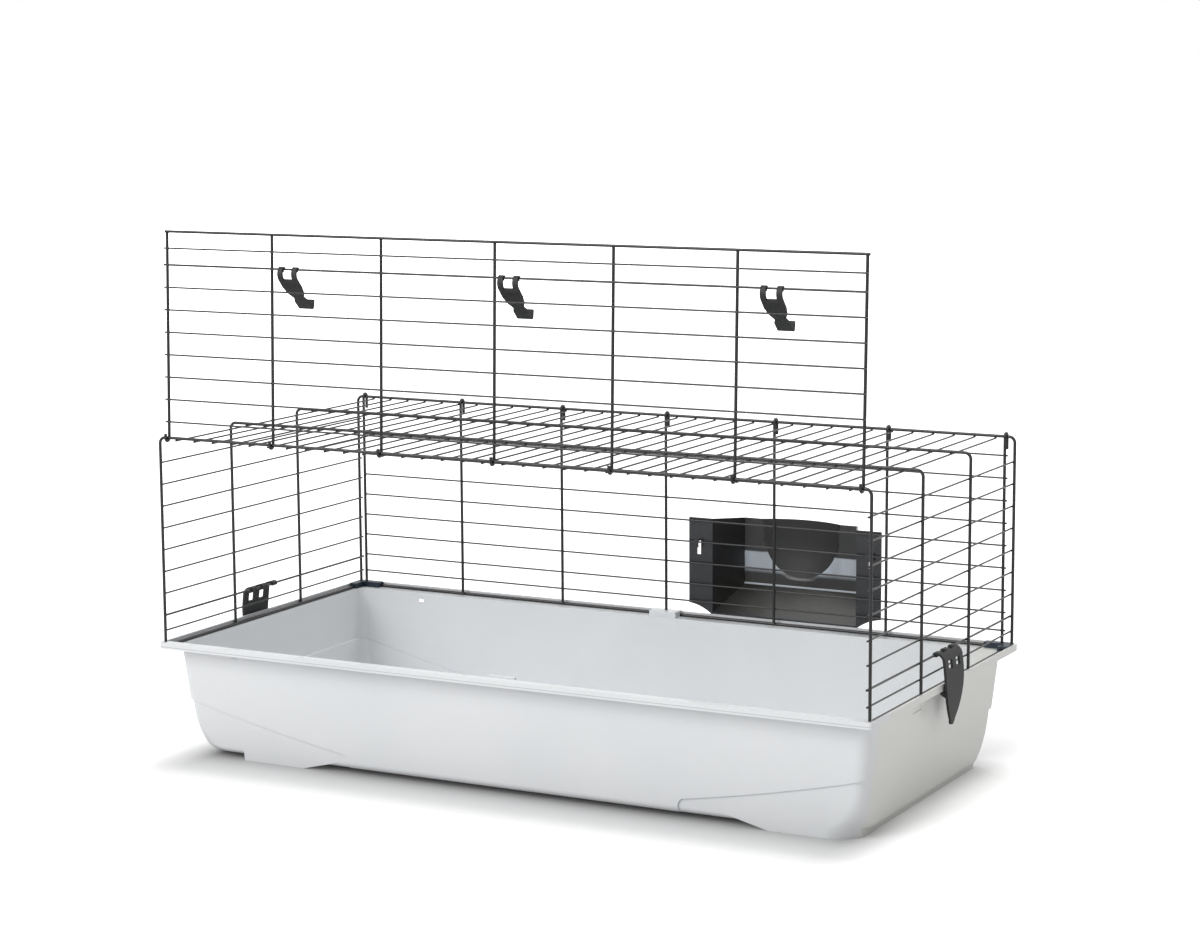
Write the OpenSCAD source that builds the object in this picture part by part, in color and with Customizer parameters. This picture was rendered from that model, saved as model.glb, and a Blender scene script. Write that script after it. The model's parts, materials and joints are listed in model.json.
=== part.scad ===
// Indoor rabbit hutch: a wire canopy with a lift-up front on a moulded tray.
// Millimetres. X runs along the length, Y from front to back, Z up from the floor.

/* [Canopy] */
// Distance between the end frames, wire centre to wire centre
cage_length = 1002; // [500:1:1400]
// Distance between the front and rear frame wires
cage_depth = 479.2; // [300:0.1:800]
// Roof wire height above the base wires
roof_rise = 276.6; // [150:0.1:500]
// Height of the base wires above the floor
base_level = 153; // [100:1:260]
// Frames from front to back
frame_count = 4; // [3:1:8]
// Wires running across the roof
roof_bars = 34; // [10:1:60]
// Bend radius where a frame turns into the roof
bend_radius = 8; // [5:0.5:30]

/* [Wire] */
// Thick wire of frames and uprights
frame_wire = 4.0; // [3:0.1:6]
// Thin wire of the rows
row_wire = 2.3; // [1.5:0.1:3.5]
// Wire that the clips hang on
clip_wire = 2.8; // [2:0.1:4]
// Wire along the foot of each side
base_wire = 4.2; // [3:0.1:6]
// Gap left where two welded wires cross
weld_gap = 0.02; // [0.01:0.01:0.1]
// Rows above the clip wire on each end
row_count = 7; // [3:1:12]
// Spacing of the end rows
end_pitch = 29; // [15:0.1:60]
// Height of the clip row above the base wire
clip_row = 40.7; // [20:0.1:80]
// Height of the lowest row above the base wire
foot_row = 20.3; // [10:0.1:40]

/* [Long panels] */
// Uprights on each long panel
upright_count = 7; // [3:1:15]
// End frames to the outermost upright
upright_end = 12; // [11:0.1:16]
// Spacing of the rear panel rows
rear_pitch = 29.5; // [15:0.1:60]
// Height of the lowest full row of the rear panel
rear_first = 45.2; // [20:0.1:80]
// Lean of the raised front panel from upright
panel_lean = 1.6; // [0:0.1:10]
// Hinge to the free edge of the front panel
panel_height = 268.4; // [140:0.1:500]
// Hinge to the clip wire of the front panel
panel_clip = 225.4; // [100:0.1:450]
// Spacing of the front panel rows
panel_pitch = 29.2; // [15:0.1:60]
// Running clearance of the hooks on the roof wire
hook_play = 0.06; // [0.02:0.01:0.1]

/* [Tray] */
// Rim beyond the end frames
rim_end = 6; // [5:0.1:12]
// Rim beyond the front and rear wires
rim_side = 7.4; // [6.5:0.1:12]
// Corner radius of the rim
rim_corner = 5; // [4:0.5:9]
// Top of the lip above the base wires
lip_top = 4.2; // [2:0.1:10]
// Thickness of the upright lip
lip_thick = 3.5; // [2:0.1:6]
// Width of the raised bead along the front
bead_width = 12; // [8:0.5:20]
// Plastic thickness
wall = 2.4; // [1.6:0.1:4]
// End frames to the tub wall under them
tub_end = 6.5; // [5.5:0.1:20]
// Front wires to the tub wall under them
tub_side = 15.6; // [14.5:0.1:40]
// Draft of the tub walls
draft = 0.094; // [0:0.002:0.2]
// Depth of the moulded step below the rim
step_drop = 75; // [40:1:120]
// Inset of the wall below the step
step_inset = 2.5; // [1:0.1:5]
// Depth of the tub body below the base wires
tub_drop = 145.6; // [125:0.1:150]
// Radius along the bottom edge
sole_radius = 10; // [4:0.5:25]
// Tub corner radius at the rim
corner_top = 16; // [8:1:40]
// Tub corner radius at the bottom
corner_low = 50; // [20:1:70]
// Depth at which the corners start to widen
corner_start = 94; // [40:1:110]
// Inner end of the arched step
arch_inner = 238; // [100:1:400]
// Fall of the arched step
arch_fall = 52; // [10:1:80]
// Inner end of the left feet, from the middle
left_foot_in = 309; // [200:1:330]
// Outer end of the left feet, from the middle
left_foot_out = 402; // [360:1:420]
// Inner end of the right feet, from the middle
right_foot_in = 356; // [250:1:380]
// Outer end of the right feet, from the middle
right_foot_out = 470; // [410:1:474]
// Length of a foot from front to back
foot_run = 52; // [20:1:100]
// Inner edge of the rail along the right end
end_rail = 425; // [400:1:450]
// Length of the ramp at the inner end of a foot
foot_ramp = 70; // [0:1:90]
// Half width of the locating lugs
lug_half = 20; // [8:1:40]

/* [Corner caps] */
// Length of a cap along the end
cap_end = 32; // [20:1:120]
// Length of a cap along the back
cap_back = 38; // [20:1:120]
// Top of a cap above the base wires
cap_top = 5.4; // [4:0.1:12]

/* [Hay feeder] */
// Middle of the feeder along the cage
feeder_x = 173; // [-400:1:400]
// Width over the flanges
feeder_width = 284; // [150:1:400]
// Width of each flange
flange_width = 33.5; // [15:0.5:60]
// Top of the feeder above the base wires
feeder_top = 137; // [60:1:240]
// Bottom of the flanges
flange_foot = 18; // [8:1:60]
// Depth of the basket
basket_depth = 58; // [30:1:120]
// Narrowing of the basket on each side
basket_taper = 24; // [5:1:60]
// Rise of the basket floor toward the back
basket_rise = 35; // [5:1:60]
// Radius of the rounded pocket in the back
pocket_radius = 55; // [20:1:80]
// Depth of the rounded pocket
pocket_depth = 14; // [6:1:30]
// Plastic thickness of the feeder
feeder_wall = 2.2; // [1.5:0.1:4]
// Distance of a hook slot from the flange edge
slot_inset = 15; // [8:0.5:30]

/* [Clips] */
// Width of a side clip
side_clip_width = 60; // [45:1:80]
// Width of a front clip
front_clip_width = 28; // [24:1:40]
// Width of a side clip finger
side_finger = 10; // [4:0.5:14]
// Width of a front clip finger
front_finger = 7; // [4:0.5:12]
// Middle of the left side clip
left_clip_y = -17; // [-60:1:60]
// Middle of the right side clip
right_clip_y = 4; // [-60:1:60]
// Place of the left front clip along the cage
left_front_clip = -298.4; // [-460:0.1:-100]
// Place of the middle front clip along the cage
middle_front_clip = 22.3; // [-90:0.1:140]
// Place of the right front clip along the cage
right_front_clip = 372.5; // [150:0.1:460]
// Swing of a resting front clip from its latched place
clip_hang = 133; // [90:1:170]
// Running clearance of a clip on its wire
clip_play = 0.06; // [0.02:0.01:0.1]
// Thickness of a clip
clip_thick = 3.2; // [2:0.1:4]

/* [Hidden] */
$fn = 32;
slack = 0.01;
corner_steps = 8;
arch_steps = 10;
arch_round = 10;
arch_slope = 1.22;
frame_r = frame_wire / 2;
half_length = cage_length / 2;
half_depth = cage_depth / 2;
upright_reach = half_length - upright_end;
frame_pitch = cage_depth / (frame_count - 1);
row_end = 2;
row_out = (frame_wire + row_wire) / 2 + weld_gap;
clip_out = (frame_wire + clip_wire) / 2 + weld_gap;
base_out = (frame_wire + base_wire) / 2 + weld_gap;
row_x = half_length - row_out;
clip_x = half_length - clip_out;
base_x = half_length - base_out;
bar_pitch = 2 * upright_reach / roof_bars;
bar_z = roof_rise - row_out;
up_pitch = 2 * upright_reach / (upright_count - 1);
rear_up_y = half_depth - base_out;
rear_row_y = rear_up_y + row_out;
rear_foot = 2;
rear_tail = 17;
edge_wire = 3.6;
panel_tail = 5.7;
hook_r = frame_wire + hook_play;
panel_row_y = hook_r - row_out;
panel_clip_y = hook_r - clip_out;
flange_top = -base_wire / 2 - slack;
flange_low = flange_top - wall;
rim_x = half_length + rim_end;
rim_y = half_depth + rim_side;
tub_x = half_length - tub_end;
tub_y = half_depth - tub_side;
bead_in = rim_y - bead_width;
lip_in_x = rim_x - lip_thick;
lip_in_y = rim_y - lip_thick;
lip_corner = 2.5;
groove_end = 16;
open_x = tub_x - wall;
open_y = tub_y - wall;
grow = wall - 0.2;
arch_outer = tub_x - draft * step_drop - 2;
foot_grip = sole_radius + 0.5;
foot_inset = step_inset + 0.15;
collar_out = 1.2;
collar_drop = 5;
side_slot_x = -388;
front_slot_x = -404;
end_slot_y = -68.5;
slot_run = 9;
end_slot_run = 29;
lug_depth = 4;
lug_top_front = lip_top + 0.1;
lug_top_rear = lip_top + 1.8;
lug_gap = 0.2;
cap_gap = 0.2;
cap_arm = 12.3;
cap_corner = 5.5;
feeder_stand = 4.6;
feeder_front = half_depth + feeder_stand;
feeder_low = lip_top + 0.4;
feeder_half = feeder_width / 2;
basket_half = feeder_half - flange_width;
hook_row = rear_first + 2 * rear_pitch;
hook_under = hook_row + row_wire / 2 + 0.35;
hook_in = rear_row_y - row_wire / 2 - 0.5 - feeder_front;
slot_low = hook_row - 18;
slot_width = 6;
pocket_level = feeder_top - 30;
pocket_round = (pocket_radius * pocket_radius + pocket_depth * pocket_depth) / (2 * pocket_depth);
flange_sag = 2.5;
rear_low = 5;
centre_shift = (rim_y - feeder_front - basket_depth - pocket_depth - feeder_wall) / 2;
loop_r = clip_wire / 2 + 2;
side_arch = 12.5;
front_arch = 12;
web_start = loop_r + 3;
window_low = 19;
window_high = 8;
window_width = 13;
tooth_gap = 1.8;
tooth_root = 7;
side_rim_u = rim_x - clip_x;
side_rim_v = clip_row - flange_low;
front_rim_u = rim_y - half_depth - panel_clip_y;
front_rim_v = roof_rise - panel_clip - flange_low;
side_reach = 3.6;
front_reach = 6;
side_crown = side_rim_u + 3.2;
side_flare = 2.4;
side_belly = 40;
side_curl = 3.5;
side_end = side_rim_v + 40;
side_tip = 6.5;
front_crown = front_rim_u + 2.6;
front_flare = 0.8;
front_belly = 24;
front_curl = 1.5;
front_end = front_rim_v + 9;
front_pitch = 21;
front_foot = 10.8;
front_neck = 7.2;
blade_steps = 12;

// ---------- shared shapes ----------

module place() {
    translate([0, centre_shift, base_level])
        children();
}

// Bend of wire in the XY plane, starting on +X
module bend(radius, d, angle) {
    rotate_extrude(angle = angle)
        translate([radius, 0])
            circle(d = d);
}

module rounded(x, y, r) {
    square([2 * x, 2 * (y - r)], center = true);
    square([2 * (x - r), 2 * y], center = true);
    for (sx = [-1, 1])
        for (sy = [-1, 1])
            translate([sx * (x - r), sy * (y - r)])
                circle(r = r);
}

// ---------- tray ----------

// Ring of points round a rounded rectangle at height z
function ring(x, y, r, z) = [
    for (q = [0:3])
        for (i = [0:corner_steps])
            let (a = 90 * q + 90 * i / corner_steps)
                [(q == 0 || q == 3 ? 1 : -1) * (x - r) + r * cos(a),
                    (q < 2 ? 1 : -1) * (y - r) + r * sin(a), z]
];

// Closed solid through rings that all have the same number of points
module loft(rings) {
    n = len(rings[0]);
    m = len(rings);
    sides = [
        for (k = [0:m - 2])
            for (i = [0:n - 1])
                for (t = [0, 1])
                    let (a = k * n + i, b = k * n + (i + 1) % n)
                        t == 0 ? [a, b + n, b] : [a, a + n, b + n]
    ];
    ends = [[for (i = [0:n - 1]) i], [for (i = [0:n - 1]) m * n - 1 - i]];
    polyhedron([for (k = rings) each k], concat(sides, ends), convexity = 4);
}

function tub_half_x(z) = tub_x + draft * z;
function tub_half_y(z) = tub_y + draft * z;
function tub_corner(z) = let (t = min(1, max(0, (-z - corner_start) / (tub_drop - corner_start))))
    corner_top + (corner_low - corner_top) * t * t;

// Ring of the tub at height z, shrunk by inset and tucked in by back
function tub_ring(z, inset, back) = ring(
    tub_half_x(z) - inset - back,
    tub_half_y(z) - inset - back,
    tub_corner(z) - inset / 2 - back * 0.6,
    z
);

// Tub body from its sole up to top
module tub_body(top, inset, sole) {
    r = sole_radius - inset / 2;
    low = sole + r;
    loft(concat(
        [for (a = [90:-22.5:22.5]) tub_ring(sole + r * (1 - sin(a)), inset, r * (1 - cos(a)))],
        [for (i = [0:4]) tub_ring(low + (-corner_start - low) * i / 4, inset, 0)],
        [tub_ring(top, inset, 0)]
    ));
}

// Height of the arched step at distance x from the middle
function arch_z(x) = let (t = (arch_outer - x) / (arch_outer - arch_inner))
    -step_drop - arch_fall * (arch_slope * t - (arch_slope - 1) * t * t);

// Region below the step on one side, widened by extra
module step_side(extra) {
    start = arch_inner - extra + arch_round;
    top = arch_z(start) + extra;
    polygon(concat(
        [[start - arch_round, -tub_drop - 5]],
        [for (a = [180:-22.5:90]) [start + arch_round * cos(a), top + arch_round * (sin(a) - 1)]],
        [
            for (i = [1:arch_steps])
                let (x = start + (arch_outer - start) * i / arch_steps)
                    [x, arch_z(x) + extra]
        ],
        [[half_length + 20, -step_drop + extra], [half_length + 20, -tub_drop - 5]]
    ));
}

module step_cut(extra) {
    for (side = [0, 1])
        mirror([side, 0, 0])
            rotate([90, 0, 0])
                linear_extrude(cage_depth + 40, center = true)
                    step_side(extra);
}

module tub(top, inset, sole, extra) {
    tub_body(top, inset + step_inset, sole);
    difference() {
        tub_body(top, inset, sole);
        step_cut(extra);
    }
}

module rim() {
    difference() {
        translate([0, 0, flange_low])
            linear_extrude(lip_top - flange_low)
                rounded(rim_x, rim_y, rim_corner);
        translate([0, 0, flange_top])
            linear_extrude(20)
                intersection() {
                    rounded(lip_in_x, lip_in_y, lip_corner);
                    translate([-rim_x, -bead_in])
                        square([2 * rim_x, 2 * rim_y]);
                }
        translate([groove_end - rim_x, wall - rim_y, flange_low - 1])
            cube([2 * (rim_x - groove_end), bead_width - 2 * wall, lip_top - flange_top + 1]);
    }
}

// Block of the tub's plan that stands on the floor
module foot_block() {
    loft([
        for (z = [-base_level, foot_grip - tub_drop])
            ring(tub_half_x(z) - foot_inset, tub_half_y(z) - foot_inset, tub_corner(z), z)
    ]);
}

// Foot from inner to outer, seen from the front, on the side that way points to
module foot_profile(inner, outer, way) {
    polygon([
        [way * (inner - foot_ramp), foot_grip - tub_drop],
        [way * inner, -base_level],
        [way * inner, -base_level - 1],
        [way * (outer + 20), -base_level - 1],
        [way * (outer + 20), foot_grip - tub_drop]
    ]);
}

module feet() {
    difference() {
        intersection() {
            foot_block();
            union() {
                for (sy = [0, 1])
                    mirror([0, sy, 0])
                        translate([0, tub_y, 0])
                            rotate([90, 0, 0])
                                linear_extrude(foot_run + draft * base_level) {
                                    foot_profile(left_foot_in, left_foot_out, -1);
                                    foot_profile(right_foot_in, right_foot_out, 1);
                                }
                translate([end_rail, -tub_y, -base_level - 1])
                    cube([tub_x - end_rail, 2 * tub_y, base_level - tub_drop + 2]);
            }
        }
        translate([-left_foot_out - tub_x, -tub_y, -base_level - 1])
            cube([tub_x, 2 * tub_y, base_level]);
        translate([right_foot_out, -tub_y, -base_level - 1])
            cube([tub_x, 2 * tub_y, base_level]);
    }
}

// Thicker band of the tub wall under the rim
module collar() {
    loft([
        tub_ring(flange_low - collar_drop - collar_out, collar_out, 0),
        tub_ring(flange_low - collar_drop + collar_out, -collar_out, 0),
        tub_ring(flange_low + slack * 20, -collar_out, 0)
    ]);
}

module slot(centre, size) {
    translate(centre)
        cube(size, center = true);
}

module tray() color([0.9, 0.92, 0.93]) place() difference() {
    union() {
        tub(flange_low + slack * 20, 0, -tub_drop, 0);
        rim();
        collar();
        feet();
        translate([-lug_half, -open_y - lug_depth, flange_low])
            cube([2 * lug_half, lug_depth, lug_top_front - flange_low]);
        translate([-lug_half, open_y + 1, flange_low])
            cube([2 * lug_half, lip_in_y - open_y - 1.5, lug_top_rear - flange_low]);
    }
    tub(flange_top + 0.5, wall, wall + 1 - tub_drop, grow);
    // room for the rear base wire and the middle upright under the rear lug
    translate([-lug_half - 5, half_depth - base_wire / 2 - 0.2, flange_top])
        cube([2 * lug_half + 10, base_wire + 0.4, base_wire + 0.3]);
    translate([0, rear_up_y, flange_top])
        cylinder(d = frame_wire + 0.4, h = 20);
    slot([side_slot_x, tub_y - 2, flange_low - 8], [slot_run, 16, 4]);
    slot([front_slot_x, -tub_y + 2, flange_low - 8], [slot_run, 16, 4]);
    slot([tub_x + 5, end_slot_y, flange_low - 15], [16, end_slot_run, 4.5]);
}

// ---------- canopy ----------

module end_frame(side) place() mirror([side, 0, 0])
    for (i = [0:frame_count - 1])
        translate([half_length, i * frame_pitch - half_depth, 0]) {
            foot_z = i == 0 ? lip_top + slack : flange_top + slack;
            translate([0, 0, foot_z])
                cylinder(d = frame_wire, h = roof_rise - bend_radius - foot_z);
            translate([-bend_radius, 0, roof_rise - bend_radius])
                rotate([90, 0, 0])
                    bend(bend_radius, frame_wire, 90);
        }

module end_rows(side) place() mirror([side, 0, 0]) {
    for (k = [1:row_count])
        cross_wire(row_x, clip_row + k * end_pitch, row_wire);
    cross_wire(clip_x, clip_row, clip_wire);
    cross_wire(row_x, foot_row, row_wire);
    translate([base_x, -bead_in + 0.5, 0])
        rotate([-90, 0, 0])
            cylinder(d = base_wire, h = bead_in + half_depth + row_end - 0.5);
}

module cross_wire(x, z, d) {
    translate([x, -half_depth - row_end, z])
        rotate([-90, 0, 0])
            cylinder(d = d, h = cage_depth + 2 * row_end);
}

// Wire along the cage, centred
module long_wire(reach, y, z, d) {
    translate([-reach, y, z])
        rotate([0, 90, 0])
            cylinder(d = d, h = 2 * reach);
}

module roof_stringers() color([0.16, 0.16, 0.17]) place()
    for (i = [0:frame_count - 1])
        long_wire(half_length - bend_radius, i * frame_pitch - half_depth, roof_rise, frame_wire);

module roof_bars() color([0.16, 0.16, 0.17]) place()
    for (i = [0:roof_bars - 1])
        cross_wire((i + 0.5) * bar_pitch - upright_reach, bar_z, row_wire);

// ---------- rear panel ----------

// Upright with a hook round the origin, rising to top
module hooked_wire(top, offset, turn, tail) {
    translate([0, offset, 0])
        cylinder(d = frame_wire, h = top);
    rotate([90, 0, 90])
        rotate([0, 0, -turn])
            bend(offset, frame_wire, turn);
    rotate([-turn, 0, 0])
        translate([0, offset, -tail])
            cylinder(d = frame_wire, h = tail);
}

module rear_uprights() color([0.16, 0.16, 0.17]) place()
    for (i = [0:upright_count - 1])
        translate([i * up_pitch - upright_reach, half_depth, roof_rise])
            rotate([180, 0, 0])
                hooked_wire(roof_rise - rear_foot, base_out, 180, rear_tail);

module rear_rows() color([0.16, 0.16, 0.17]) place() {
    for (k = [0:row_count])
        long_wire(upright_reach + row_end + 1, rear_row_y, rear_first + k * rear_pitch, row_wire);
    long_wire(upright_reach + row_end + 1, rear_row_y, foot_row + 1, row_wire);
    long_wire(upright_reach + row_end + 1, half_depth, 0, base_wire);
}

// ---------- front panel ----------

// Puts children drawn round the hinge wire, panel upright, at the raised pose
module raised() {
    place()
        translate([0, -half_depth, roof_rise])
            rotate([-panel_lean, 0, 0])
                children();
}

module panel_uprights() color([0.16, 0.16, 0.17]) raised()
    for (i = [0:upright_count - 1])
        translate([i * up_pitch - upright_reach, 0, 0])
            hooked_wire(panel_height - edge_wire / 2 - weld_gap, hook_r, 180, panel_tail);

module panel_rows() color([0.16, 0.16, 0.17]) raised() {
    for (k = [1:row_count])
        long_wire(upright_reach + row_end + 1, panel_row_y, panel_clip - k * panel_pitch, row_wire);
    long_wire(upright_reach + row_end + 1, panel_clip_y, panel_clip, clip_wire);
    long_wire(upright_reach + row_end + 1, panel_row_y, (panel_clip + panel_height) / 2, row_wire);
    long_wire(upright_reach + row_end + 1, hook_r, panel_height, edge_wire);
}

// ---------- corner caps ----------

module cap_outline() {
    translate([lip_in_x - cap_gap - cap_arm, lip_in_y - cap_gap - cap_end])
        square([cap_arm, cap_end - cap_corner]);
    translate([lip_in_x - cap_gap - cap_back, lip_in_y - cap_gap - cap_arm])
        square([cap_back - cap_corner, cap_arm]);
    translate([lip_in_x - cap_gap - cap_corner, lip_in_y - cap_gap - cap_corner])
        circle(r = cap_corner);
}

module corner_cap(side) place() mirror([side, 0, 0]) difference() {
    translate([0, 0, flange_top + slack])
        linear_extrude(cap_top - flange_top)
            cap_outline();
    // room for the end base wire, the rear base wire and two feet
    translate([base_x - base_wire / 2 - lug_gap, 0, flange_top - 1])
        cube([base_wire + 2 * lug_gap, rim_y, base_wire + 1 + lug_gap]);
    translate([0, half_depth - base_wire / 2 - lug_gap, flange_top - 1])
        cube([base_x, base_wire + 2 * lug_gap, base_wire + 1 + lug_gap]);
    translate([half_length, half_depth, flange_top - 1])
        cylinder(d = frame_wire + 2 * lug_gap, h = 20);
    translate([upright_reach, rear_up_y, flange_top - 1])
        cylinder(d = frame_wire + 2 * lug_gap, h = 20);
}

// ---------- hay feeder ----------

// Wedge-shaped basket, grown inward by inset and open toward the cage and upward when inset
module basket(inset) {
    near = inset > 0 ? -1 : 0;
    far = basket_depth - inset;
    lift = inset > 0 ? basket_depth : 0;
    hull()
        for (y = [near, far])
            translate([0, y, 0])
                rotate([90, 0, 0])
                    linear_extrude(slack, center = true)
                        basket_face(y / basket_depth, inset, lift);
}

module basket_face(t, inset, lift) {
    half = basket_half - basket_taper * t - inset;
    low = feeder_low + basket_rise * t + inset;
    translate([-half, low])
        square([2 * half, feeder_top - rear_low * t - low + lift]);
}

// Round bowl that runs straight up from its middle, for the pocket in the back
module pocket(radius) {
    translate([0, basket_depth + pocket_depth - pocket_round, pocket_level])
        rotate_extrude()
            intersection() {
                union() {
                    circle(r = radius);
                    translate([-radius, 0])
                        square([2 * radius, feeder_top]);
                }
                translate([0, -radius - 1])
                    square([radius + 1, radius + feeder_top + 2]);
            }
}

module pocket_shell() {
    difference() {
        intersection() {
            pocket(pocket_round + feeder_wall);
            translate([-basket_half, basket_depth - feeder_wall, 0])
                cube([2 * basket_half, pocket_depth + 3 * feeder_wall, feeder_top - rear_low]);
        }
        pocket(pocket_round);
    }
}

module flange() {
    run = flange_width;
    rise = flange_foot - feeder_low;
    chord = sqrt(run * run + rise * rise);
    bow = (chord * chord / 4 + flange_sag * flange_sag) / (2 * flange_sag);
    difference() {
        translate([basket_half - feeder_wall, feeder_low])
            square([flange_width + feeder_wall, feeder_top - feeder_low]);
        translate([
            feeder_half - run / 2 + (bow - flange_sag) * rise / chord,
            feeder_low + rise / 2 - (bow - flange_sag) * run / chord
        ])
            circle(r = bow, $fn = 96);
        translate([feeder_half - slot_inset - slot_width / 2, slot_low])
            square([slot_width, hook_under - slot_low]);
    }
}

module feeder_hook() {
    translate([feeder_half - slot_inset - slot_width / 2, hook_in - feeder_wall, hook_under])
        cube([slot_width, feeder_wall * 2 - hook_in, feeder_wall]);
    translate([feeder_half - slot_inset - slot_width / 2, hook_in - feeder_wall, hook_row - 7])
        cube([slot_width, feeder_wall, hook_under - hook_row + 8]);
}

module hay_feeder() color([0.2, 0.2, 0.2]) place() translate([feeder_x, feeder_front, 0]) {
    for (side = [0, 1])
        mirror([side, 0, 0]) {
            translate([0, feeder_wall, 0])
                rotate([90, 0, 0])
                    linear_extrude(feeder_wall)
                        flange();
            feeder_hook();
        }
    difference() {
        union() {
            basket(0);
            pocket_shell();
        }
        basket(feeder_wall);
        intersection() {
            pocket(pocket_round);
            translate([-basket_half, basket_depth - 2 * feeder_wall, 0])
                cube([2 * basket_half, pocket_depth + 2 * feeder_wall, 2 * feeder_top]);
        }
    }
}

// ---------- clips ----------
// Drawn round their wire, which runs along Y: X outward from the cage, Z up

// Top of a clip: level from the wire, then round into the blade at face
module arch(face, radius) {
    middle = face + clip_thick - radius;
    translate([middle, loop_r - radius])
        intersection() {
            difference() {
                circle(r = radius);
                circle(r = radius - clip_thick);
            }
            square(2 * radius);
        }
    translate([min(0, middle), loop_r - clip_thick])
        square([abs(middle) + slack, clip_thick]);
}

// Room for the wire, with a mouth below it
module wire_room() {
    circle(d = clip_wire + 2 * clip_play);
    translate([-clip_wire / 3, -2 * loop_r])
        square([clip_wire / 1.5, 2 * loop_r]);
}

// One finger: a loop round the wire and its arch
module finger(face, radius) {
    difference() {
        union() {
            circle(r = loop_r);
            arch(face, radius);
        }
        wire_room();
    }
}

// Inner face of a bowed blade at depth v: flare above the belly, curl below it
function blade_u(v, top, belly, end, crown, flare, curl) = v < belly
    ? crown - flare * pow((belly - v) / (belly - top), 2)
    : crown - curl * pow((v - belly) / (end - belly), 2);

module blade(top, belly, end, crown, flare, curl) {
    depths = [for (i = [0:blade_steps]) top + (end - top) * i / blade_steps];
    inner = [for (v = depths) [blade_u(v, top, belly, end, crown, flare, curl), -v]];
    outer = [for (i = [blade_steps:-1:0]) [inner[i][0] + clip_thick, inner[i][1]]];
    polygon(concat(inner, outer));
}

// Tooth that catches under the rim
module tooth(crown, tip_u, rim_v) {
    depth = rim_v + tooth_gap;
    polygon([
        [crown + clip_thick / 2, -depth],
        [tip_u, -depth],
        [tip_u, -depth - 2.5],
        [crown, -depth - tooth_root],
        [crown + clip_thick / 2, -depth - tooth_root]
    ]);
}

// Outline through points of the right half, from the top down
module mirrored_outline(right) {
    left = [for (i = [len(right) - 1:-1:0]) [-right[i][0], right[i][1]]];
    polygon(concat(right, left));
}

// Side blade from outside: a shield that narrows to a round tip
module side_outline() {
    half = side_clip_width / 2;
    start = side_belly / 2;
    mirrored_outline(concat(
        [[half, 0]],
        [
            for (i = [0:blade_steps])
                let (t = i / blade_steps)
                    [side_tip + (half - side_tip) * (1 - pow(t, 2.4)), -start - (side_end - start) * t]
        ]
    ));
    translate([0, -side_end])
        circle(r = side_tip);
}

// Front blade from outside: broad shoulders, a neck and a broad foot
module front_outline() {
    half = front_clip_width / 2;
    mirrored_outline([
        [half, 0],
        [half, -front_belly + 2],
        [half - 2.5, -front_belly - 10],
        [front_neck, -front_belly - 18],
        [front_neck + 0.4, -front_belly - 20],
        [front_foot - 0.8, -front_belly - 25],
        [front_foot, -front_end]
    ]);
}

module across(width) {
    rotate([90, 0, 0])
        linear_extrude(width, center = true)
            children();
}

module outward() {
    translate([-side_arch, 0, 0])
        rotate([90, 0, 90])
            linear_extrude(4 * side_arch)
                children();
}

module side_clip() {
    face = side_crown - side_flare;
    for (y = [-1, 0, 1])
        translate([0, y * (side_clip_width - side_finger) / 2, 0])
            across(side_finger)
                finger(face, side_arch);
    difference() {
        union() {
            // web over the fingers, clear of the wire
            intersection() {
                across(side_clip_width)
                    arch(face, side_arch);
                translate([web_start, -side_clip_width, -2 * side_arch])
                    cube([40, 2 * side_clip_width, 4 * side_arch]);
            }
            intersection() {
                across(side_clip_width) {
                    blade(
                        side_arch - loop_r,
                        side_belly,
                        side_end + side_tip,
                        side_crown,
                        side_flare,
                        side_curl
                    );
                    tooth(side_crown, side_rim_u - side_reach, side_rim_v);
                }
                outward()
                    side_outline();
            }
        }
        for (y = [-1, 1])
            translate([face - 4, y * (side_clip_width - side_finger) / 4 - window_width / 2, -window_low])
                cube([20, window_width, window_low - window_high]);
    }
}

module front_clip(x) raised()
    translate([x, panel_clip_y, panel_clip])
        rotate([-clip_hang, 0, 0])
            rotate([180, 0, 90]) {
                for (y = [-front_pitch / 2, front_pitch / 2])
                    translate([0, y, 0])
                        across(front_finger)
                            finger(front_crown - front_flare, front_arch);
                intersection() {
                    across(front_clip_width) {
                        blade(
                            front_arch - loop_r,
                            front_belly,
                            front_end,
                            front_crown,
                            front_flare,
                            front_curl
                        );
                        tooth(front_crown - front_curl, front_rim_u - front_reach, front_rim_v);
                    }
                    outward()
                        front_outline();
                }
            }

// ---------- sub-parts that share a shape ----------

module end_frame_left() color([0.16, 0.16, 0.17]) end_frame(1);

module end_frame_right() color([0.16, 0.16, 0.17]) end_frame(0);

module end_rows_left() color([0.16, 0.16, 0.17]) end_rows(1);

module end_rows_right() color([0.16, 0.16, 0.17]) end_rows(0);

module corner_cap_left() color([0.07, 0.1, 0.14]) corner_cap(1);

module corner_cap_right() color([0.07, 0.1, 0.14]) corner_cap(0);

module side_clip_left() color([0.18, 0.18, 0.18]) place()
    mirror([1, 0, 0])
        translate([clip_x, left_clip_y, clip_row])
            side_clip();

module side_clip_right() color([0.35, 0.35, 0.35]) place()
    translate([clip_x, right_clip_y, clip_row])
        side_clip();

module front_clip_left() color([0.18, 0.18, 0.18]) front_clip(left_front_clip);

module front_clip_middle() color([0.18, 0.18, 0.18]) front_clip(middle_front_clip);

module front_clip_right() color([0.18, 0.18, 0.18]) front_clip(right_front_clip);

tray();
end_frame_left();
end_rows_left();
end_frame_right();
end_rows_right();
roof_stringers();
roof_bars();
rear_uprights();
rear_rows();
panel_uprights();
panel_rows();
corner_cap_left();
corner_cap_right();
hay_feeder();
side_clip_left();
side_clip_right();
front_clip_left();
front_clip_middle();
front_clip_right();
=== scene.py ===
import json
from math import cos, radians, sin

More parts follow.
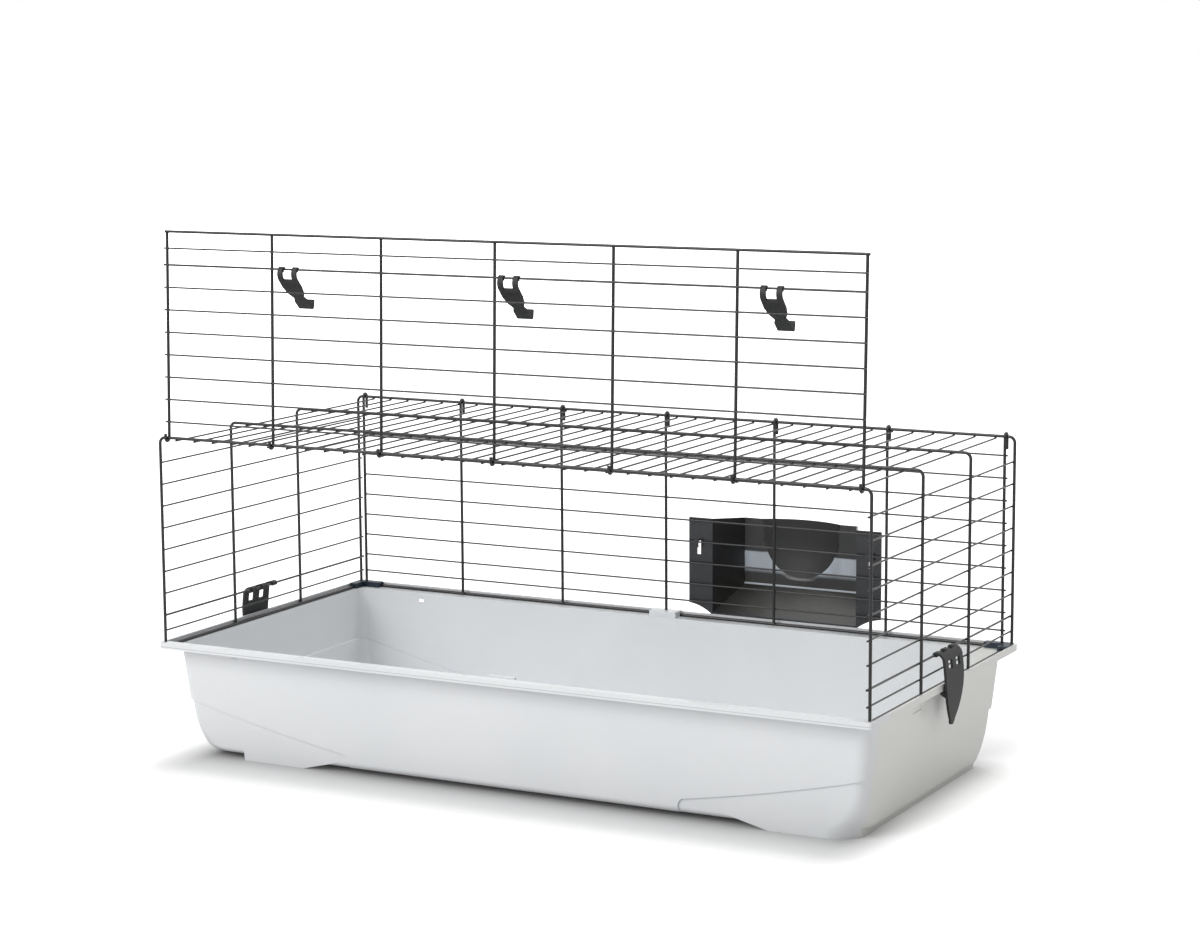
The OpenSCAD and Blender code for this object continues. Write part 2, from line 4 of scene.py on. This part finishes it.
import bpy
from mathutils import Matrix, Vector


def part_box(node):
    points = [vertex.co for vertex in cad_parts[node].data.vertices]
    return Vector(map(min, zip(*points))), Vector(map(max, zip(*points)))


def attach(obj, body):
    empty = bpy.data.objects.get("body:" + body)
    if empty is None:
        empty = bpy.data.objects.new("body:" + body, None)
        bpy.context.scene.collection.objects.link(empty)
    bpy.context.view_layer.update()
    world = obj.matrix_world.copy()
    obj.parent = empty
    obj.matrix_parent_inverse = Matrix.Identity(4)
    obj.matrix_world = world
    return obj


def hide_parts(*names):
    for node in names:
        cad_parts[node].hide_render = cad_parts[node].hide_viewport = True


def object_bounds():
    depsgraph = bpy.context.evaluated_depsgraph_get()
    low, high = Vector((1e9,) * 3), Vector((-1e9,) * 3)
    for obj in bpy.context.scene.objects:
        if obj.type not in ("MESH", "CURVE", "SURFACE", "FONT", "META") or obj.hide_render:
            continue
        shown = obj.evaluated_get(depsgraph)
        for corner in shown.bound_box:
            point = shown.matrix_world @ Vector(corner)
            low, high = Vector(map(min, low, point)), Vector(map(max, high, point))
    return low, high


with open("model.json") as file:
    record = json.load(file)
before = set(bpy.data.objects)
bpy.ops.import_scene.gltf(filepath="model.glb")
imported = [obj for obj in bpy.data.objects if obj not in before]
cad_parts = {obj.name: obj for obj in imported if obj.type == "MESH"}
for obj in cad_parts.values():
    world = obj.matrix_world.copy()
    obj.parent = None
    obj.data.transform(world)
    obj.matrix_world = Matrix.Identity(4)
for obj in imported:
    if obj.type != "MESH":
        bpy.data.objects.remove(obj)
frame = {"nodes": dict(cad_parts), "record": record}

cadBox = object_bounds()
nodes = frame["nodes"]
bpy.ops.object.select_all(action="DESELECT")
print("frame loaded:", len(nodes), "nodes")


cameraPlan = {
    "place": (1.7606, -3.3194, 0.9489),
    "turn": 28.16,  # round the object, from straight in front
    "dip": 8.52,  # below level
    "roll": -0.37,
    "lens": 86.955,
    "sensor": 36,
    "shift": (0.0110, -0.0061),
    "farthest": 60,
}


def addCamera(plan):
    turn, dip, roll = (radians(plan[k]) for k in ("turn", "dip", "roll"))
    ahead = Vector((-sin(turn) * cos(dip), cos(turn) * cos(dip), -sin(dip)))
    right = Vector((cos(turn), sin(turn), 0))
    up = right.cross(ahead)
    right, up = cos(roll) * right + sin(roll) * up, cos(roll) * up - sin(roll) * right
    data = bpy.data.cameras.new("camera")
    data.sensor_width = plan["sensor"]
    data.lens = plan["lens"]
    data.shift_x, data.shift_y = plan["shift"]
    data.clip_end = plan["farthest"]
    camera = bpy.data.objects.new("camera", data)
    bpy.context.scene.collection.objects.link(camera)
    axes = Matrix((right, up, -ahead)).transposed().to_4x4()
    camera.matrix_world = Matrix.Translation(plan["place"]) @ axes
    bpy.context.scene.camera = camera


addCamera(cameraPlan)
print("camera placed")


def rgb(r, g, b):  # screen colour to the shader's own scale
    def lift(v):
        v /= 255
        return v / 12.92 if v <= 0.04045 else ((v + 0.055) / 1.055) ** 2.4
    return (lift(r), lift(g), lift(b), 1)


class Wire:  # one output socket, so that sums read as plain Python
    def __init__(self, finish, socket):
        self.finish = finish
        self.socket = socket

    def sum(self, operation, *values):
        return self.finish.add("ShaderNodeMath", {"operation": operation}, values)

    def __add__(self, other):
        return self.sum("ADD", self, other)

    __radd__ = __add__

    def __sub__(self, other):
        return self.sum("SUBTRACT", self, other)

    def __rsub__(self, other):
        return self.sum("SUBTRACT", other, self)

    def __mul__(self, other):
        return self.sum("MULTIPLY", self, other)

    __rmul__ = __mul__

    def __truediv__(self, other):
        return self.sum("DIVIDE", self, other)

    def clamped(self):
        return self.sum("MINIMUM", self.sum("MAXIMUM", self, 0), 1)

    def rises(self, start, over):  # 0 below the start, 1 past it
        return ((self - start) / over).clamped()

    def falls(self, end, over):
        return ((end - self) / over).clamped()


class Finish:  # one material and the ways to add to it
    def __init__(self, name):
        self.material = bpy.data.materials.new(name)
        self.material.use_nodes = True
        self.tree = self.material.node_tree
        self.tree.nodes.clear()
        self.shader = self.tree.nodes.new("ShaderNodeBsdfPrincipled")
        self.out = self.tree.nodes.new("ShaderNodeOutputMaterial")
        self.tree.links.new(self.shader.outputs[0], self.out.inputs[0])
        self.place = self.add("ShaderNodeTexCoord", {}, {}, "Object")

    def add(self, kind, settings, inputs, output=0):
        made = self.tree.nodes.new(kind)
        for key, value in settings.items():
            if key == "stops":
                self.stops(made.color_ramp, value)
            else:
                setattr(made, key, value)
        pairs = inputs.items() if isinstance(inputs, dict) else enumerate(inputs)
        for key, value in pairs:
            self.feed(made.inputs[key], value)
        return Wire(self, made.outputs[output])

    def feed(self, target, value):
        if isinstance(value, Wire):
            self.tree.links.new(value.socket, target)
        else:
            target.default_value = value

    def stops(self, ramp, stops):
        while len(ramp.elements) < len(stops):
            ramp.elements.new(0.5)
        for element, (at, colour) in zip(ramp.elements, stops):
            element.position = at
            element.color = colour if isinstance(colour, tuple) else (colour, colour, colour, 1)

    def set(self, **values):
        for key, value in values.items():
            self.feed(self.shader.inputs[key.replace("_", " ")], value)
        return self

    def sum(self, operation, *values):
        return self.add("ShaderNodeMath", {"operation": operation}, values)

    def noise(self, scale, detail=2, rough=0.5, place=None):
        values = {"Vector": place or self.place, "Scale": scale, "Detail": detail, "Roughness": rough}
        return self.add("ShaderNodeTexNoise", {}, values, "Fac")

    def ramp(self, value, stops):
        return self.add("ShaderNodeValToRGB", {"stops": stops}, {"Fac": value}, "Color")

    def blend(self, share, a, b):
        return self.add("ShaderNodeMix", {"data_type": "RGBA"}, {"Factor": share, 6: a, 7: b}, 2)

    def axis(self, name):
        return self.add("ShaderNodeSeparateXYZ", {}, {0: self.place}, name)

    def stretched(self, x, y, z):
        return self.add("ShaderNodeMapping", {}, {"Vector": self.place, "Scale": (x, y, z)})

    def bump(self, height, strength, distance):
        values = {"Height": height, "Strength": strength, "Distance": distance}
        self.feed(self.shader.inputs["Normal"], self.add("ShaderNodeBump", {}, values))
        return self


trayLook = {
    "colour": rgb(229, 231, 233),
    "dull": rgb(222, 225, 227),
    "warmLight": rgb(229, 229, 225),  # painted light: the right end is drawn in a yellower tint than the rest, for the light that falls on it
    "warmReach": 0.065,  # in from the end of the rim
    "warmFade": 0.02,
    "warmGap": 0.05,  # it stops this far behind the front of the rim
    "gapFade": 0.01,
    "paintedShadeLine": rgb(186, 190, 193),  # a painted shade line along the front of the rim, where a step in the rim casts shade
    "seamDrop": 0.0076,  # below the top of the tray
    "seamWide": 0.0009,
    "seamDeep": 0.0015,  # only the foremost skin of the rim carries it
    "seamFade": 0.0005,
    "roughness": 0.3,
    "cloudScale": 6,
    "waveScale": 24,
    "scuffScale": 60,
    "grainScale": 1400,
}


def trayPlastic(plan):
    look = Finish("trayPlastic")
    low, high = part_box("tray")
    along, deep, height = look.axis("X"), look.axis("Y"), look.axis("Z")
    cloudy = look.noise(plan["cloudScale"], 4)
    grain = look.noise(plan["grainScale"], 2)
    waves = look.noise(plan["waveScale"], 1)
    scuffs = look.noise(plan["scuffScale"], 5, 0.7, place=look.stretched(1, 1, 0.15))
    tone = look.blend(look.ramp(cloudy, [(0.4, 0), (0.8, 1)]), plan["colour"], plan["dull"])
    # painted light on the right end of the tray, stopping short of its front
    end = along.rises(high[0] - plan["warmReach"], plan["warmFade"])
    behind = deep.rises(low[1] + plan["warmGap"], plan["gapFade"])
    tone = look.blend(end * behind, tone, plan["warmLight"])
    # the painted shade line, on the foremost skin of the rim just below its top
    face = deep.falls(low[1] + plan["seamDeep"], plan["seamFade"])
    off = look.sum("ABSOLUTE", height - (high[2] - plan["seamDrop"])) / plan["seamWide"]
    tone = look.blend(face * (1 - off).clamped(), tone, plan["paintedShadeLine"])
    look.set(Base_Color=tone, Coat_Weight=0.3 + 0.1 * cloudy)
    look.set(Roughness=plan["roughness"] + 0.06 * cloudy + 0.06 * scuffs)
    look.set(Coat_Roughness=0.1, IOR=1.5)
    return look.bump(grain * 0.2 + waves * 0.6, 0.1, 0.0005).material


wireLook = {
    "colour": rgb(46, 45, 45),
    "dark": rgb(24, 24, 25),
    "roughness": 0.3,
    "driftScale": 22,
    "peelScale": 900,
    "longways": 0.05,  # how far the pattern is drawn out along a wire
}


def wireCoat(name, axis, plan):
    look = Finish(name)
    stretch = [plan["longways"] if letter == axis else 1 for letter in "XYZ"]
    drift = look.noise(plan["driftScale"], 3, place=look.stretched(*stretch))
    peel = look.noise(plan["peelScale"], 2)
    look.set(Base_Color=look.blend(drift, plan["dark"], plan["colour"]), Metallic=0.3)
    look.set(Roughness=plan["roughness"] + 0.1 * drift, Coat_Weight=0.3, Coat_Roughness=0.15)
    return look.bump(peel, 0.15, 0.0002).material


clipLook = {
    "dark": rgb(22, 22, 24),
    "darkWorn": rgb(34, 34, 36),
    "grey": rgb(24, 24, 24),  # for the clip on the right end, slightly paler and more neutral: a lit copy of the clip plastic, painted light
    "greyWorn": rgb(40, 40, 39),
    "roughness": 0.5,
    "cloudScale": 60,
    "grainScale": 2600,
}


def clipPlastic(name, shade, plan):
    look = Finish(name)
    cloud = look.noise(plan["cloudScale"], 3)
    grain = look.noise(plan["grainScale"], 2)
    worn = look.ramp(cloud, [(0.4, 0), (0.7, 1)])
    look.set(Base_Color=look.blend(worn, plan[shade], plan[shade + "Worn"]))
    look.set(Roughness=plan["roughness"] + 0.15 * cloud)
    return look.bump(grain, 0.2, 0.0002).material


feederLook = {
    "flange": rgb(34, 35, 38),
    "side": rgb(36, 36, 37),
    # the low part inside, in a tone of its own: painted light and shade for how light falls there
    "floor": rgb(40, 40, 36),
    "sheen": rgb(196, 205, 214),  # the low part of the rear wall, drawn pale as if light came through
    "foldHighlight": rgb(196, 202, 208),  # a painted highlight: the thin pale line where the rear wall meets the floor
    "basketDepth": 0.058,
    "wall": 0.0022,
    "depth": 0.0742,  # over the pocket
    "flangeDeep": 0.004,
    "flangeFade": 0.002,
    "floorHigh": 0.052,  # above the underside, as the sheen's and the fold's heights are
    "floorFade": 0.01,
    "sheenLow": 0.0514,
    "sheenRise": 0.008,
    "sheenHigh": 0.0824,
    "sheenFall": 0.002,
    "foldLow": 0.0349,
    "foldHigh": 0.0376,
    "skin": 0.0004,  # how quickly one tone gives way to the next
    "roughness": 0.3,
    "cloudScale": 14,
    "smearScale": 30,
    "waveScale": 40,
}


def smokedPlastic(plan):
    look = Finish("smokedPlastic")
    low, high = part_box("hay_feeder")
    skin = plan["skin"]
    depth = look.axis("Y") - (high[1] - plan["depth"])
    height = look.axis("Z") - low[2]
    cloud = look.noise(plan["cloudScale"], 3)
    smear = look.noise(plan["smearScale"], 3, place=look.stretched(1, 1, 0.3))
    rearFace = plan["basketDepth"] - plan["wall"]
    inside = depth.rises(plan["flangeDeep"], plan["flangeFade"])
    rear = depth.rises(rearFace - 1.5 * skin, skin)
    nearRear = depth.rises(rearFace - 3.5 * skin, skin)
    pocket = depth.rises(plan["basketDepth"] + 0.75 * skin, skin)
    floor = height.falls(plan["floorHigh"], plan["floorFade"])
    lit = height.rises(plan["sheenLow"], plan["sheenRise"])
    lit = lit * height.falls(plan["sheenHigh"], plan["sheenFall"])
    # a painted highlight along the crease of the rear wall and the floor
    foldHighlight = height.rises(plan["foldLow"], skin) * height.falls(plan["foldHigh"], skin)
    tone = look.blend(inside, plan["flange"], plan["side"])
    # painted light and shade: the low part inside takes its own tone
    tone = look.blend(inside * floor, tone, plan["floor"])
    tone = look.blend(rear * (1 - pocket) * lit * (0.5 + 0.7 * smear).clamped(), tone, plan["sheen"])
    tone = look.blend(nearRear * foldHighlight, tone, plan["foldHighlight"])
    look.set(Base_Color=tone, Roughness=plan["roughness"] + 0.1 * cloud + 0.25 * pocket)
    look.set(Coat_Weight=0.35 - 0.3 * pocket, Coat_Roughness=0.2)
    return look.bump(look.noise(plan["waveScale"], 1), 0.08, 0.0006).material


capLook = {
    "dark": rgb(18, 32, 46),
    "colour": rgb(30, 46, 62),
    "roughness": 0.35,
    "cloudScale": 80,
    "grainScale": 1800,
}


def capPlastic(plan):
    look = Finish("capPlastic")
    cloud = look.noise(plan["cloudScale"], 2)
    look.set(Base_Color=look.blend(cloud, plan["dark"], plan["colour"]))
    look.set(Roughness=plan["roughness"] + 0.15 * cloud)
    return look.bump(look.noise(plan["grainScale"], 2), 0.2, 0.0002).material


bodyOf = {node: body for body, names in frame["record"]["behaviour"]["bodies"].items() for node in names}
wireFinish = {axis: wireCoat("wireAlong" + axis, axis, wireLook) for axis in "XYZ"}
wireAxis = {
    "end_frame_left": "Z", "end_frame_right": "Z", "rear_uprights": "Z", "panel_uprights": "Z",
    "end_rows_left": "Y", "end_rows_right": "Y", "roof_bars": "Y",
    "roof_stringers": "X", "rear_rows": "X", "panel_rows": "X",
}


def dress(data, material):
    data.materials.clear()
    data.materials.append(material)
    data.polygons.foreach_set("material_index", [0] * len(data.polygons))


for name, axis in wireAxis.items():
    dress(nodes[name].data, wireFinish[axis])
print("wires dressed")


rounding = {
    "tray": 0.0008,
    "feeder": 0.0006,
    "clip": 0.0006,
    "cap": 0.0012,
    "steps": 2,
    "sharp": 38,  # degrees between two faces from which their edge is rounded
    "flat": 0.2,  # faces closer in angle than this become one
    "smooth": 30,
    "merge": 1e-6,
}


def selectOnly(piece):
    bpy.ops.object.select_all(action="DESELECT")
    piece.select_set(True)
    bpy.context.view_layer.objects.active = piece


def softened(name, material, width, plan):  # a moulded copy of a CAD piece with rounded edges
    piece = bpy.data.objects.new(name + "_skin", nodes[name].data.copy())
    bpy.context.scene.collection.objects.link(piece)
    selectOnly(piece)
    bpy.ops.object.mode_set(mode="EDIT")
    bpy.ops.mesh.select_all(action="SELECT")
    bpy.ops.mesh.remove_doubles(threshold=plan["merge"])
    bpy.ops.mesh.dissolve_limited(angle_limit=radians(plan["flat"]))
    bpy.ops.object.mode_set(mode="OBJECT")
    edges = piece.modifiers.new("edges", "BEVEL")
    edges.width = width
    edges.segments = plan["steps"]
    edges.limit_method = "ANGLE"
    edges.angle_limit = radians(plan["sharp"])
    bpy.ops.object.modifier_apply(modifier=edges.name)
    bpy.ops.object.shade_smooth_by_angle(angle=radians(plan["smooth"]))
    weighted = piece.modifiers.new("weighted", "WEIGHTED_NORMAL")
    weighted.keep_sharp = True
    bpy.ops.object.modifier_apply(modifier=weighted.name)
    dress(piece.data, material)
    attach(piece, bodyOf[name])
    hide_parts(name)


softened("tray", trayPlastic(trayLook), rounding["tray"], rounding)
softened("hay_feeder", smokedPlastic(feederLook), rounding["feeder"], rounding)
darkClip = clipPlastic("clipPlastic", "dark", clipLook)
for name in ("side_clip_left", "front_clip_left", "front_clip_middle", "front_clip_right"):
    softened(name, darkClip, rounding["clip"], rounding)
# the clip on the right end gets the paler, painted-light copy of the clip plastic
softened("side_clip_right", clipPlastic("clipPlasticPaintedLight", "grey", clipLook), rounding["clip"], rounding)
capFinish = capPlastic(capLook)
for name in ("corner_cap_left", "corner_cap_right"):
    softened(name, capFinish, rounding["cap"], rounding)
print("mouldings softened")


weld = {
    "radius": 0.0015,
    "fineness": 2,
    "shift": 0.0015,  # from the middle of a row toward the uprights that it is welded to
    "smooth": 60,
    "seats": {  # the rows, what they cross, the axis they run along, and the side the uprights are on
        "left": ("end_rows_left", "end_frame_left", 1, -1),
        "right": ("end_rows_right", "end_frame_right", 1, 1),
        "rear": ("rear_rows", "rear_uprights", 0, -1),
        "panel": ("panel_rows", "panel_uprights", 0, 1),
    },
}


def wireBoxes(name):  # the lowest and highest corner of each separate wire of a node
    data = nodes[name].data
    leader = list(range(len(data.vertices)))

    def lead(i):
        while leader[i] != i:
            leader[i] = leader[leader[i]]
            i = leader[i]
        return i

    met = {}
    for vertex in data.vertices:
        place = tuple(round(v, 6) for v in vertex.co)
        leader[lead(vertex.index)] = lead(met.setdefault(place, vertex.index))
    for face in data.polygons:
        for corner in face.vertices[1:]:
            leader[lead(corner)] = lead(face.vertices[0])
    wires = {}
    for vertex in data.vertices:
        wires.setdefault(lead(vertex.index), []).append(vertex.co)
    return [[[end(p[i] for p in wire) for i in range(3)] for end in (min, max)] for wire in wires.values()]


def weldSpots(rows, uprights, along, shift):
    spots = []
    standing = wireBoxes(uprights)
    for low, high in wireBoxes(rows):
        for lowUp, highUp in standing:
            spot = [(a + b) / 2 for a, b in zip(low, high)]
            spot[along] = (lowUp[along] + highUp[along]) / 2
            if low[along] <= spot[along] <= high[along] and lowUp[2] <= spot[2] <= highUp[2]:
                spot[1 - along] += shift
                spots.append(spot)
    return spots


def addBeads(part, rows, spots, plan):  # the small lumps where crossing wires are welded
    bpy.ops.object.select_all(action="DESELECT")
    bpy.ops.mesh.primitive_ico_sphere_add(
        subdivisions=plan["fineness"], radius=plan["radius"], location=spots[0])
    beads = bpy.context.object
    beads.name = "weld_beads_" + part
    for spot in spots[1:]:
        bead = bpy.data.objects.new("bead", beads.data.copy())
        bead.location = spot
        bpy.context.scene.collection.objects.link(bead)
        bead.select_set(True)
    bpy.ops.object.join()
    bpy.ops.object.transform_apply(location=True, rotation=True, scale=True)
    bpy.ops.object.shade_smooth_by_angle(angle=radians(plan["smooth"]))
    dress(beads.data, wireFinish[wireAxis[rows]])
    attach(beads, bodyOf[rows])


for part, (rows, uprights, axis, side) in weld["seats"].items():
    addBeads(part, rows, weldSpots(rows, uprights, axis, side * weld["shift"]), weld)
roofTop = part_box("roof_bars")[1][2]
stringers = wireBoxes("roof_stringers")
roofSpots = [
    ((low[0] + high[0]) / 2, (lowLong[1] + highLong[1]) / 2, roofTop)
    for low, high in wireBoxes("roof_bars")
    for lowLong, highLong in stringers
]
addBeads("roof", "roof_bars", roofSpots, weld)
print("weld beads made")


studio = {
    "sky": 0.42,
    "key": {"place": (-2.6, -6.4, 4.4), "size": 4.6, "power": 335},
    "top": {"place": (0.1, 1.5, 4.6), "size": 2.2, "power": 112},
    "aim": (0, 0, 0.2),
}


def addLamp(name, plan, aim):
    data = bpy.data.lights.new(name, "AREA")
    data.shape = "SQUARE"
    data.size = plan["size"]
    data.energy = plan["power"]
    lamp = bpy.data.objects.new(name, data)
    bpy.context.scene.collection.objects.link(lamp)
    way = Vector(aim) - Vector(plan["place"])
    lamp.matrix_world = Matrix.Translation(plan["place"]) @ way.to_track_quat("-Z", "Y").to_matrix().to_4x4()


def addWorld(level):  # white where it is seen or mirrored, dimmer where it only lights
    world = bpy.data.worlds.new("studio")
    world.use_nodes = True
    tree = world.node_tree
    tree.nodes.clear()
    path = tree.nodes.new("ShaderNodeLightPath")
    seen = path.outputs["Is Camera Ray"]
    for ray in ("Is Glossy Ray", "Is Transmission Ray"):
        either = tree.nodes.new("ShaderNodeMath")
        either.operation = "MAXIMUM"
        tree.links.new(seen, either.inputs[0])
        tree.links.new(path.outputs[ray], either.inputs[1])
        seen = either.outputs[0]
    strength = tree.nodes.new("ShaderNodeMapRange")
    tree.links.new(seen, strength.inputs["Value"])
    strength.inputs["To Min"].default_value = level
    strength.inputs["To Max"].default_value = 1
    back = tree.nodes.new("ShaderNodeBackground")
    back.inputs["Color"].default_value = (1, 1, 1, 1)
    tree.links.new(strength.outputs[0], back.inputs["Strength"])
    out = tree.nodes.new("ShaderNodeOutputWorld")
    tree.links.new(back.outputs[0], out.inputs[0])
    bpy.context.scene.world = world


addWorld(studio["sky"])
for name in ("key", "top"):
    addLamp(name, studio[name], studio["aim"])
print("lamps placed")


ground = {
    "size": 60,
    "pale": 0.84,
    "drift": 0.02,  # how much paler the floor is in places
    "driftScale": 0.4,
    # the colour of the painted shadow
    "dark": 0.02,
    "foot": (0.45, 0.205),  # half sizes of the ground that the tray covers
    "ends": 2.6,  # the shadow is this much shorter past the ends than before the front
    "paintedShadow": 0.86,  # painted shadow: how much darker the floor is drawn along the front, over the real shadow
    "fade": 14,  # how fast that darkness dies away, per metre
    "frontStart": 0.1,  # in front of the middle, where that darker band begins
    "frontFade": 0.1,
    "haze": 0.50,  # share of the floor's white that is backdrop, a little away from the object
    "reach": 0.25,
    "far": 0.12,  # and what each further metre adds
}


def grey(level):
    return (level, level, level, 1)


def addFloor(plan):
    bpy.ops.mesh.primitive_plane_add(size=plan["size"], location=(0, 0, 0))
    floor = bpy.context.object
    floor.name = "floor"
    middle = (cadBox[0][1] + cadBox[1][1]) / 2
    look = Finish("floorWhite")
    pastEnds = look.sum("ABSOLUTE", look.axis("X")) - plan["foot"][0]
    pastFront = look.sum("ABSOLUTE", look.axis("Y") - middle) - plan["foot"][1]
    wide = look.sum("MAXIMUM", pastEnds, 0) * plan["ends"]
    deep = look.sum("MAXIMUM", pastFront, 0)
    away = look.sum("SQRT", wide * wide + deep * deep)
    front = look.axis("Y").falls(middle - plan["frontStart"], plan["frontFade"])
    # a painted shadow along the front, on top of the real one
    paintedShadow = look.sum("EXPONENT", away * -plan["fade"]) * front * plan["paintedShadow"]
    drift = look.noise(plan["driftScale"], 2)
    pale = look.blend(drift, grey(plan["pale"]), grey(plan["pale"] + plan["drift"]))
    look.set(Base_Color=look.blend(paintedShadow, pale, grey(plan["dark"])), Roughness=0.9)
    look.set(Specular_IOR_Level=0.1)
    share = look.sum("SMOOTH_MIN", away / plan["reach"], 1, 0.2)
    seen = look.add("ShaderNodeLightPath", {}, {}, "Is Camera Ray")
    backdrop = seen * (share * plan["haze"] + away * plan["far"])
    lift = look.add("ShaderNodeEmission", {}, {"Strength": backdrop})
    both = look.add("ShaderNodeAddShader", {}, {0: Wire(look, look.shader.outputs[0]), 1: lift})
    look.tree.links.new(both.socket, look.out.inputs[0])
    floor.data.materials.append(look.material)


addFloor(ground)
bpy.context.scene.view_settings.view_transform = "Standard"
print("studio lit")
